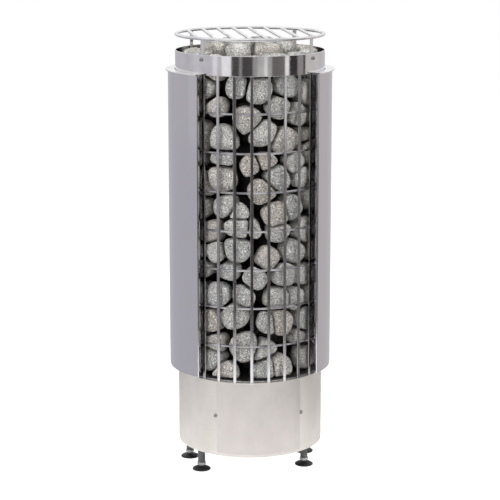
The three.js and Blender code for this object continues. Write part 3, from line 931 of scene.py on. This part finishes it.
def jacket_path():
    """The sheet's outer face in plan, from one turned-in edge round the back to the other."""
    first = math.radians(jacket_opening)
    last = math.tau - first
    bend_angle = jacket_bend / jacket_radius
    length = last - first - 2 * bend_angle
    edge = [(jacket_radius - jacket_return, 0)]
    for k in range(bend_steps + 1):
        t = k / bend_steps
        edge.append((jacket_radius - jacket_bend * (1 - t) ** 2, bend_angle * t**2))
    path = [at_angle(radius, 0, first + turn) for radius, turn in edge]
    for k in range(1, jacket_steps):
        path.append(at_angle(jacket_radius, 0, first + bend_angle + length * k / jacket_steps))
    return path + [at_angle(radius, 0, last - turn) for radius, turn in reversed(edge)]


def jacket_sheet(name):
    """The path drawn up, with its thickness behind the face and its edges broken. Rows close to the
    upper and lower edge keep the shading of the face flat."""
    path = jacket_path()
    low, high = jacket_low.z, jacket_high.z
    shape = bmesh.new()
    rows = []
    for level in (low, low + jacket_border, high - jacket_border, high):
        rows.append([shape.verts.new((point.x, point.y, level)) for point in path])
    for here, there in zip(rows, rows[1:]):
        for i in range(1, len(path)):
            shape.faces.new((here[i - 1], here[i], there[i], there[i - 1]))
    face = solid("jacket_face", shape)
    middle_face = face.data.polygons[len(face.data.polygons) // 2]
    if middle_face.normal.dot(middle_face.center - axis) < 0:
        face.data.flip_normals()
    wall = face.modifiers.new("wall", "SOLIDIFY")
    wall.thickness = sheet
    wall.offset = -1
    wall.use_even_offset = True
    broken = face.modifiers.new("edge", "BEVEL")
    broken.width = jacket_edge
    broken.segments = 2
    broken.angle_limit = math.radians(50)
    data = plain_mesh(face)
    bpy.data.objects.remove(face)
    return shown(name, data)


jacket = jacket_sheet("jacket_sheet")
jacket_steel = polished_stainless("polished_stainless_sheet", "#D0CED3", 0.1, 0.25, (90, 90, 2.5))
jacket.data.materials.append(jacket_steel)
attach(jacket, "heater")
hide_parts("jacket")


# Jacket rim
# A flat ring plate on top of the jacket, as far as the collar. It is laser-cut from stainless
# sheet with its edge rounded, and overhangs the jacket a little.
rim_low, rim_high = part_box("jacket_rim")
rim_radius = (rim_high.x - rim_low.x) / 2
rim_inside = collar_radius + 1 * MM
rim_edge = 0.9 * MM
rim_outline = rounded(ring_section(rim_radius, rim_inside, rim_low.z, rim_high.z), rim_edge)
rim_sweep = (jacket_opening, 360 - jacket_opening)
rim = turned("rim_plate", rim_outline, sweep=rim_sweep, steps=jacket_steps)
rim.data.materials.append(mirror_steel_painted_light)
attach(rim, "heater")
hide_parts("jacket_rim")


# Jacket brackets
# Bent strips of zinc-plated steel from the cage's bars to the inside of the jacket. They keep
# their shapes from the frame.
coat(zinc, *[f"jacket_bracket_{i}" for i in range(1, 5)])


# Legs and lock nuts
# Round grey nylon legs under the base, moulded over a threaded bush, each with a zinc-plated
# hexagon nut that locks the levelling stud.
feet = [1, 2, 3, 4]
foot_places = []
for k in feet:
    pad_low, pad_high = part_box(f"foot_pad_{k}")
    foot_places.append(Vector(((pad_low.x + pad_high.x) / 2, (pad_low.y + pad_high.y) / 2, 0)))
sleeve_low, sleeve_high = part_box("leg_sleeve_1")
nut_low, nut_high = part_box("lock_nut_1")
stud_low, stud_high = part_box("foot_stud_1")
sleeve_radius = 7.85 * MM
sleeve_edge = 0.8 * MM
stud_bore = 5.5 * MM
nut_corner_radius = 9.5 * MM
nut_chamfer = 0.9 * MM
nut_spare = 1 * MM
leg_nylon = moulded_nylon("moulded_grey_nylon", "#646464", "#545454", 0.55)
sleeve_corners = ring_section(sleeve_radius, stud_bore, sleeve_low.z, sleeve_high.z)
sleeve = turned("sleeve", rounded(sleeve_corners, sleeve_edge), Vector(), steps=48)
no_turns = [0.0] * len(feet)
legs = at_turns("leg_sleeves", sleeve, no_turns, leg_nylon, foot_places)
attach(legs, "heater")
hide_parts(*[f"leg_sleeve_{k}" for k in feet])


def hexagon_nut():
    """A nut with chamfered corners: a turned blank cut to a hexagon."""
    half_chamfer = nut_chamfer / 2
    half = [
        (stud_bore, half_chamfer),
        (stud_bore + half_chamfer, 0),
        (nut_corner_radius * math.cos(math.pi / 6), 0),
        (nut_corner_radius + nut_spare, nut_chamfer),
    ]
    lower = [(radius, nut_low.z + height) for radius, height in half]
    upper = [(radius, nut_high.z - height) for radius, height in reversed(half)]
    nut = turned("nut", lower + upper, Vector(), steps=48)
    corners = []
    for k in range(6):
        turn = k * math.pi / 3
        corners.append((nut_corner_radius * math.cos(turn), nut_corner_radius * math.sin(turn)))
    prism = extruded("hexagon", corners, nut_low.z - nut_spare, nut_high.z + nut_spare)
    cut_by(nut, prism, "INTERSECT")
    return nut


lock_nuts = at_turns("lock_nuts", hexagon_nut(), no_turns, zinc, foot_places)
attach(lock_nuts, "heater")
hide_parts(*[f"lock_nut_{k}" for k in feet])


# Levelling feet
# M10 studs of zinc-plated steel with a rolled thread, each turning in the socket of a domed pad
# of black nylon that spreads the load on the floor.
stud_radius = 5 * MM
thread_pitch = 1.5 * MM
thread_depth = 0.75 * MM
thread_sides = 24
rows_per_pitch = 6
pad_radius = 20 * MM
pad_shoulder_radius = pad_radius * 0.82
pad_neck_radius = pad_radius * 0.44
pad_side = 2.5 * MM
pad_shoulder = 4.8 * MM
pad_edge = 1.2 * MM
pad_least_radius = 0.2 * MM
pad_corners = [
    (0, pad_low.z),
    (pad_radius, pad_low.z),
    (pad_radius, pad_low.z + pad_side),
    (pad_shoulder_radius, pad_low.z + pad_shoulder),
    (pad_neck_radius, pad_high.z),
    (0, pad_high.z),
]


def threaded_stud(name, place):
    """A stud whose radius rises and falls along a helix."""
    length = stud_high.z - stud_low.z
    row_count = round(length / thread_pitch * rows_per_pitch)
    rings = []
    for row in range(row_count + 1):
        level = stud_low.z + length * row / row_count
        ring = []
        for side in range(thread_sides):
            phase = (row / rows_per_pitch - side / thread_sides) % 1
            radius = stud_radius - thread_depth * abs(2 * phase - 1)
            if row in (0, row_count):
                radius = stud_radius - thread_depth
            ring.append(at_angle(radius, level, side * math.tau / thread_sides, place))
        rings.append(ring)
    return skinned(name, rings, crease=60)


pad_curve = [point for point in rounded(pad_corners, pad_edge) if point.x > pad_least_radius]
pad_outline = [Vector((0, pad_low.z)), *pad_curve, Vector((0, pad_high.z))]
stud_zinc = zinc_plate("rolled_zinc_plated_thread", "#9FA0A0", "#77787A")
for k, place in zip(feet, foot_places):
    stud = threaded_stud(f"levelling_stud_{k}", place)
    stud.data.materials.append(stud_zinc)
    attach(stud, f"stud_{k}")
    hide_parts(f"foot_stud_{k}")
    pad = turned(f"floor_pad_{k}", pad_outline, place, steps=64)
    pad.data.materials.append(black_nylon)
    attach(pad, f"foot_{k}")
    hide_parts(f"foot_pad_{k}")


# Studio floor
# A white paper sweep under the heater. It shows white to the camera and to the polished steel, and
# keeps the heater's soft shadow. It lies where the pads come to when the feet are screwed out.
floor_half = 20
floor_level = -20.5 * MM
floor_shape = bmesh.new()
bmesh.ops.create_grid(floor_shape, x_segments=1, y_segments=1, size=floor_half)
bmesh.ops.translate(floor_shape, verts=floor_shape.verts, vec=(0, 0, floor_level))
floor = solid("studio_floor", floor_shape)
if floor.data.polygons[0].normal.z < 0:
    floor.data.flip_normals()


def white_paper():
    """Matt white paper that glows a little where the camera or a reflection looks at it."""
    seen_glow = 0.91
    mirrored_glow = 0.4
    made, tree = new_material("white_paper")
    matt = add_node(tree, "ShaderNodeBsdfDiffuse", {"Color": linear("#F2F2F2")})
    rays = add_node(tree, "ShaderNodeLightPath").node.outputs
    sockets = {0: rays["Is Glossy Ray"], 1: mirrored_glow}
    mirrored = add_node(tree, "ShaderNodeMath", sockets, operation="MULTIPLY")
    sockets = {0: rays["Is Camera Ray"], 1: seen_glow, 2: mirrored}
    strength = add_node(tree, "ShaderNodeMath", sockets, operation="MULTIPLY_ADD")
    glow = add_node(tree, "ShaderNodeEmission", {"Color": linear("#FFFFFF"), "Strength": strength})
    both = add_node(tree, "ShaderNodeAddShader", {0: matt, 1: glow})
    add_node(tree, "ShaderNodeOutputMaterial", {"Surface": both})
    return made


floor.data.materials.append(white_paper())


# Camera
# A long lens at the side and height from which the photograph was taken, for a square picture of
# 500 pixels.
camera_azimuth = math.radians(-8.1)
camera_distance = 3.730
camera_height = 1.2737
camera_pitch = math.radians(11.21)
focal_pixels = 1748
frame_pixels = 500
camera_data = bpy.data.cameras.new("camera")
camera_data.sensor_width = 36
camera_data.lens = focal_pixels / frame_pixels * camera_data.sensor_width
camera_data.shift_y = -0.05
camera = bpy.data.objects.new("camera", camera_data)
camera.location = at_angle(camera_distance, camera_height, camera_azimuth)
camera.rotation_euler = (math.pi / 2 - camera_pitch, 0, camera_azimuth)
bpy.context.scene.collection.objects.link(camera)
bpy.context.scene.camera = camera


# Reflecting panels
# Grey, black and white cards round the sweep, which only the polished steel sees. Each runs out
# along the floor and up, from one angle to the next, counted from the camera to the right.
panel_outer = 5.0
panel_height = 1.2
card_thickness = 3 * MM
card_level = 3 * MM
# Start and end in degrees, where the floor card begins, and the shades along the floor and up.
panels = [
    (-175, -130, 0.50, "#C6C5CB", "#C6C5CB"),
    (-130, -94, 0.50, "#C6C5CB", "#CBCACF"),
    (-94, -76, 0.60, "#C6C5CB", "#D2D1D6"),
    (-76, -58, 0.70, "#C6C5CB", "#D0CFD4"),
    (-58, -50, 0.80, "#A3A1A6", "#F2F1F4"),
    (-50, -43, 1.20, "#A9A7AC", "#CFCDD1"),
    (-43, -28, 1.20, "#A9A7AC", "#FFFFFF"),
    (-28, -16, 1.25, "#4E4B49", "#4C4A49"),
    (-16, -12, 1.25, "#4E4B49", "#9A9897"),
    (-12, 4, 1.25, "#4E4B49", "#4A4847"),
    (4, 11, 1.25, "#4E4B49", "#A5A3A2"),
    (11, 21, 1.25, "#5A5755", "#C6C4C2"),
    (21, 26, 1.25, "#5A5755", "#F4F3F2"),
    (26, 33, 1.25, "#5A5755", "#B6B4B2"),
    (33, 54, 1.25, "#5C5957", "#716E6C"),
    (54, 61, 1.00, "#7E7B79", "#FFFFFF"),
    (61, 76, 0.80, "#4A4745", "#363332"),
    (76, 88, 0.65, "#8E8B88", "#9A9796"),
    (88, 92, 0.60, "#4A4745", "#1E1D1C"),
    (92, 130, 0.42, "#D0CCCB", "#D2CDCB"),
    (130, 175, 0.42, "#CDCBCD", "#CDCBCD"),
]


def stand_card(name, sweep, section, shade):
    """One matt card, as bright as it is written, of a section turned round the heater."""
    made, tree = new_material(name)
    glow = add_node(tree, "ShaderNodeEmission", {"Color": linear(shade), "Strength": 1.0})
    add_node(tree, "ShaderNodeOutputMaterial", {"Surface": glow})
    panel = turned(name, section, sweep=sweep, steps=24)
    panel.data.materials.append(made)
    panel.visible_camera = False
    panel.visible_diffuse = False
    panel.visible_shadow = False
    panel.visible_transmission = False


camera_turn = math.degrees(camera_azimuth)
for i, (start, end, inner, floor_shade, wall_shade) in enumerate(panels):
    sweep = (start + camera_turn, end + camera_turn)
    laid = ring_section(panel_outer, inner, card_level, card_level + card_thickness)
    stand_card(f"floor_card_{i + 1}", sweep, laid, floor_shade)
    stood = ring_section(panel_outer + card_thickness, panel_outer, card_level, panel_height)
    stand_card(f"wall_card_{i + 1}", sweep, stood, wall_shade)


# Studio light
# Soft boxes to the left, to the right and above, which face the middle of the heater, in a white
# room that gives a little even light.
# Azimuth in degrees, distance, height, width, length and watts.
soft_boxes = {
    "key": (-45, 2.6, 1.7, 1.4, 1.6, 44),
    "fill": (40, 2.8, 1.5, 1.4, 1.6, 27),
    "top": (0, 0.6, 2.8, 1.6, 1.6, 52),
}
aim_height = 0.5
room_light = 0.1
room_seen = 1.0
for name, (azimuth, distance, height, width, length, watts) in soft_boxes.items():
    lamp = bpy.data.lights.new(name, "AREA")
    lamp.shape = "RECTANGLE"
    lamp.size = width
    lamp.size_y = length
    lamp.energy = watts
    box = bpy.data.objects.new(name, lamp)
    box.location = at_angle(distance, height, math.radians(azimuth))
    aim = axis + Vector((0, 0, aim_height)) - box.location
    box.rotation_euler = aim.to_track_quat("-Z", "Y").to_euler()
    box.visible_glossy = False
    bpy.context.scene.collection.objects.link(box)

world = bpy.data.worlds.new("white_room")
bpy.context.scene.world = world
world.use_nodes = True
room = world.node_tree
room.nodes.clear()
rays = add_node(room, "ShaderNodeLightPath").node.outputs
sockets = {0: rays["Is Camera Ray"], 1: rays["Is Glossy Ray"]}
seen = add_node(room, "ShaderNodeMath", sockets, operation="MAXIMUM")
sockets = {0: seen, 1: room_seen - room_light, 2: room_light}
strength = add_node(room, "ShaderNodeMath", sockets, operation="MULTIPLY_ADD")
sockets = {"Color": linear("#FFFFFF"), "Strength": strength}
background = add_node(room, "ShaderNodeBackground", sockets)
add_node(room, "ShaderNodeOutputWorld", {"Surface": background})

bpy.context.scene.view_settings.view_transform = "Standard"
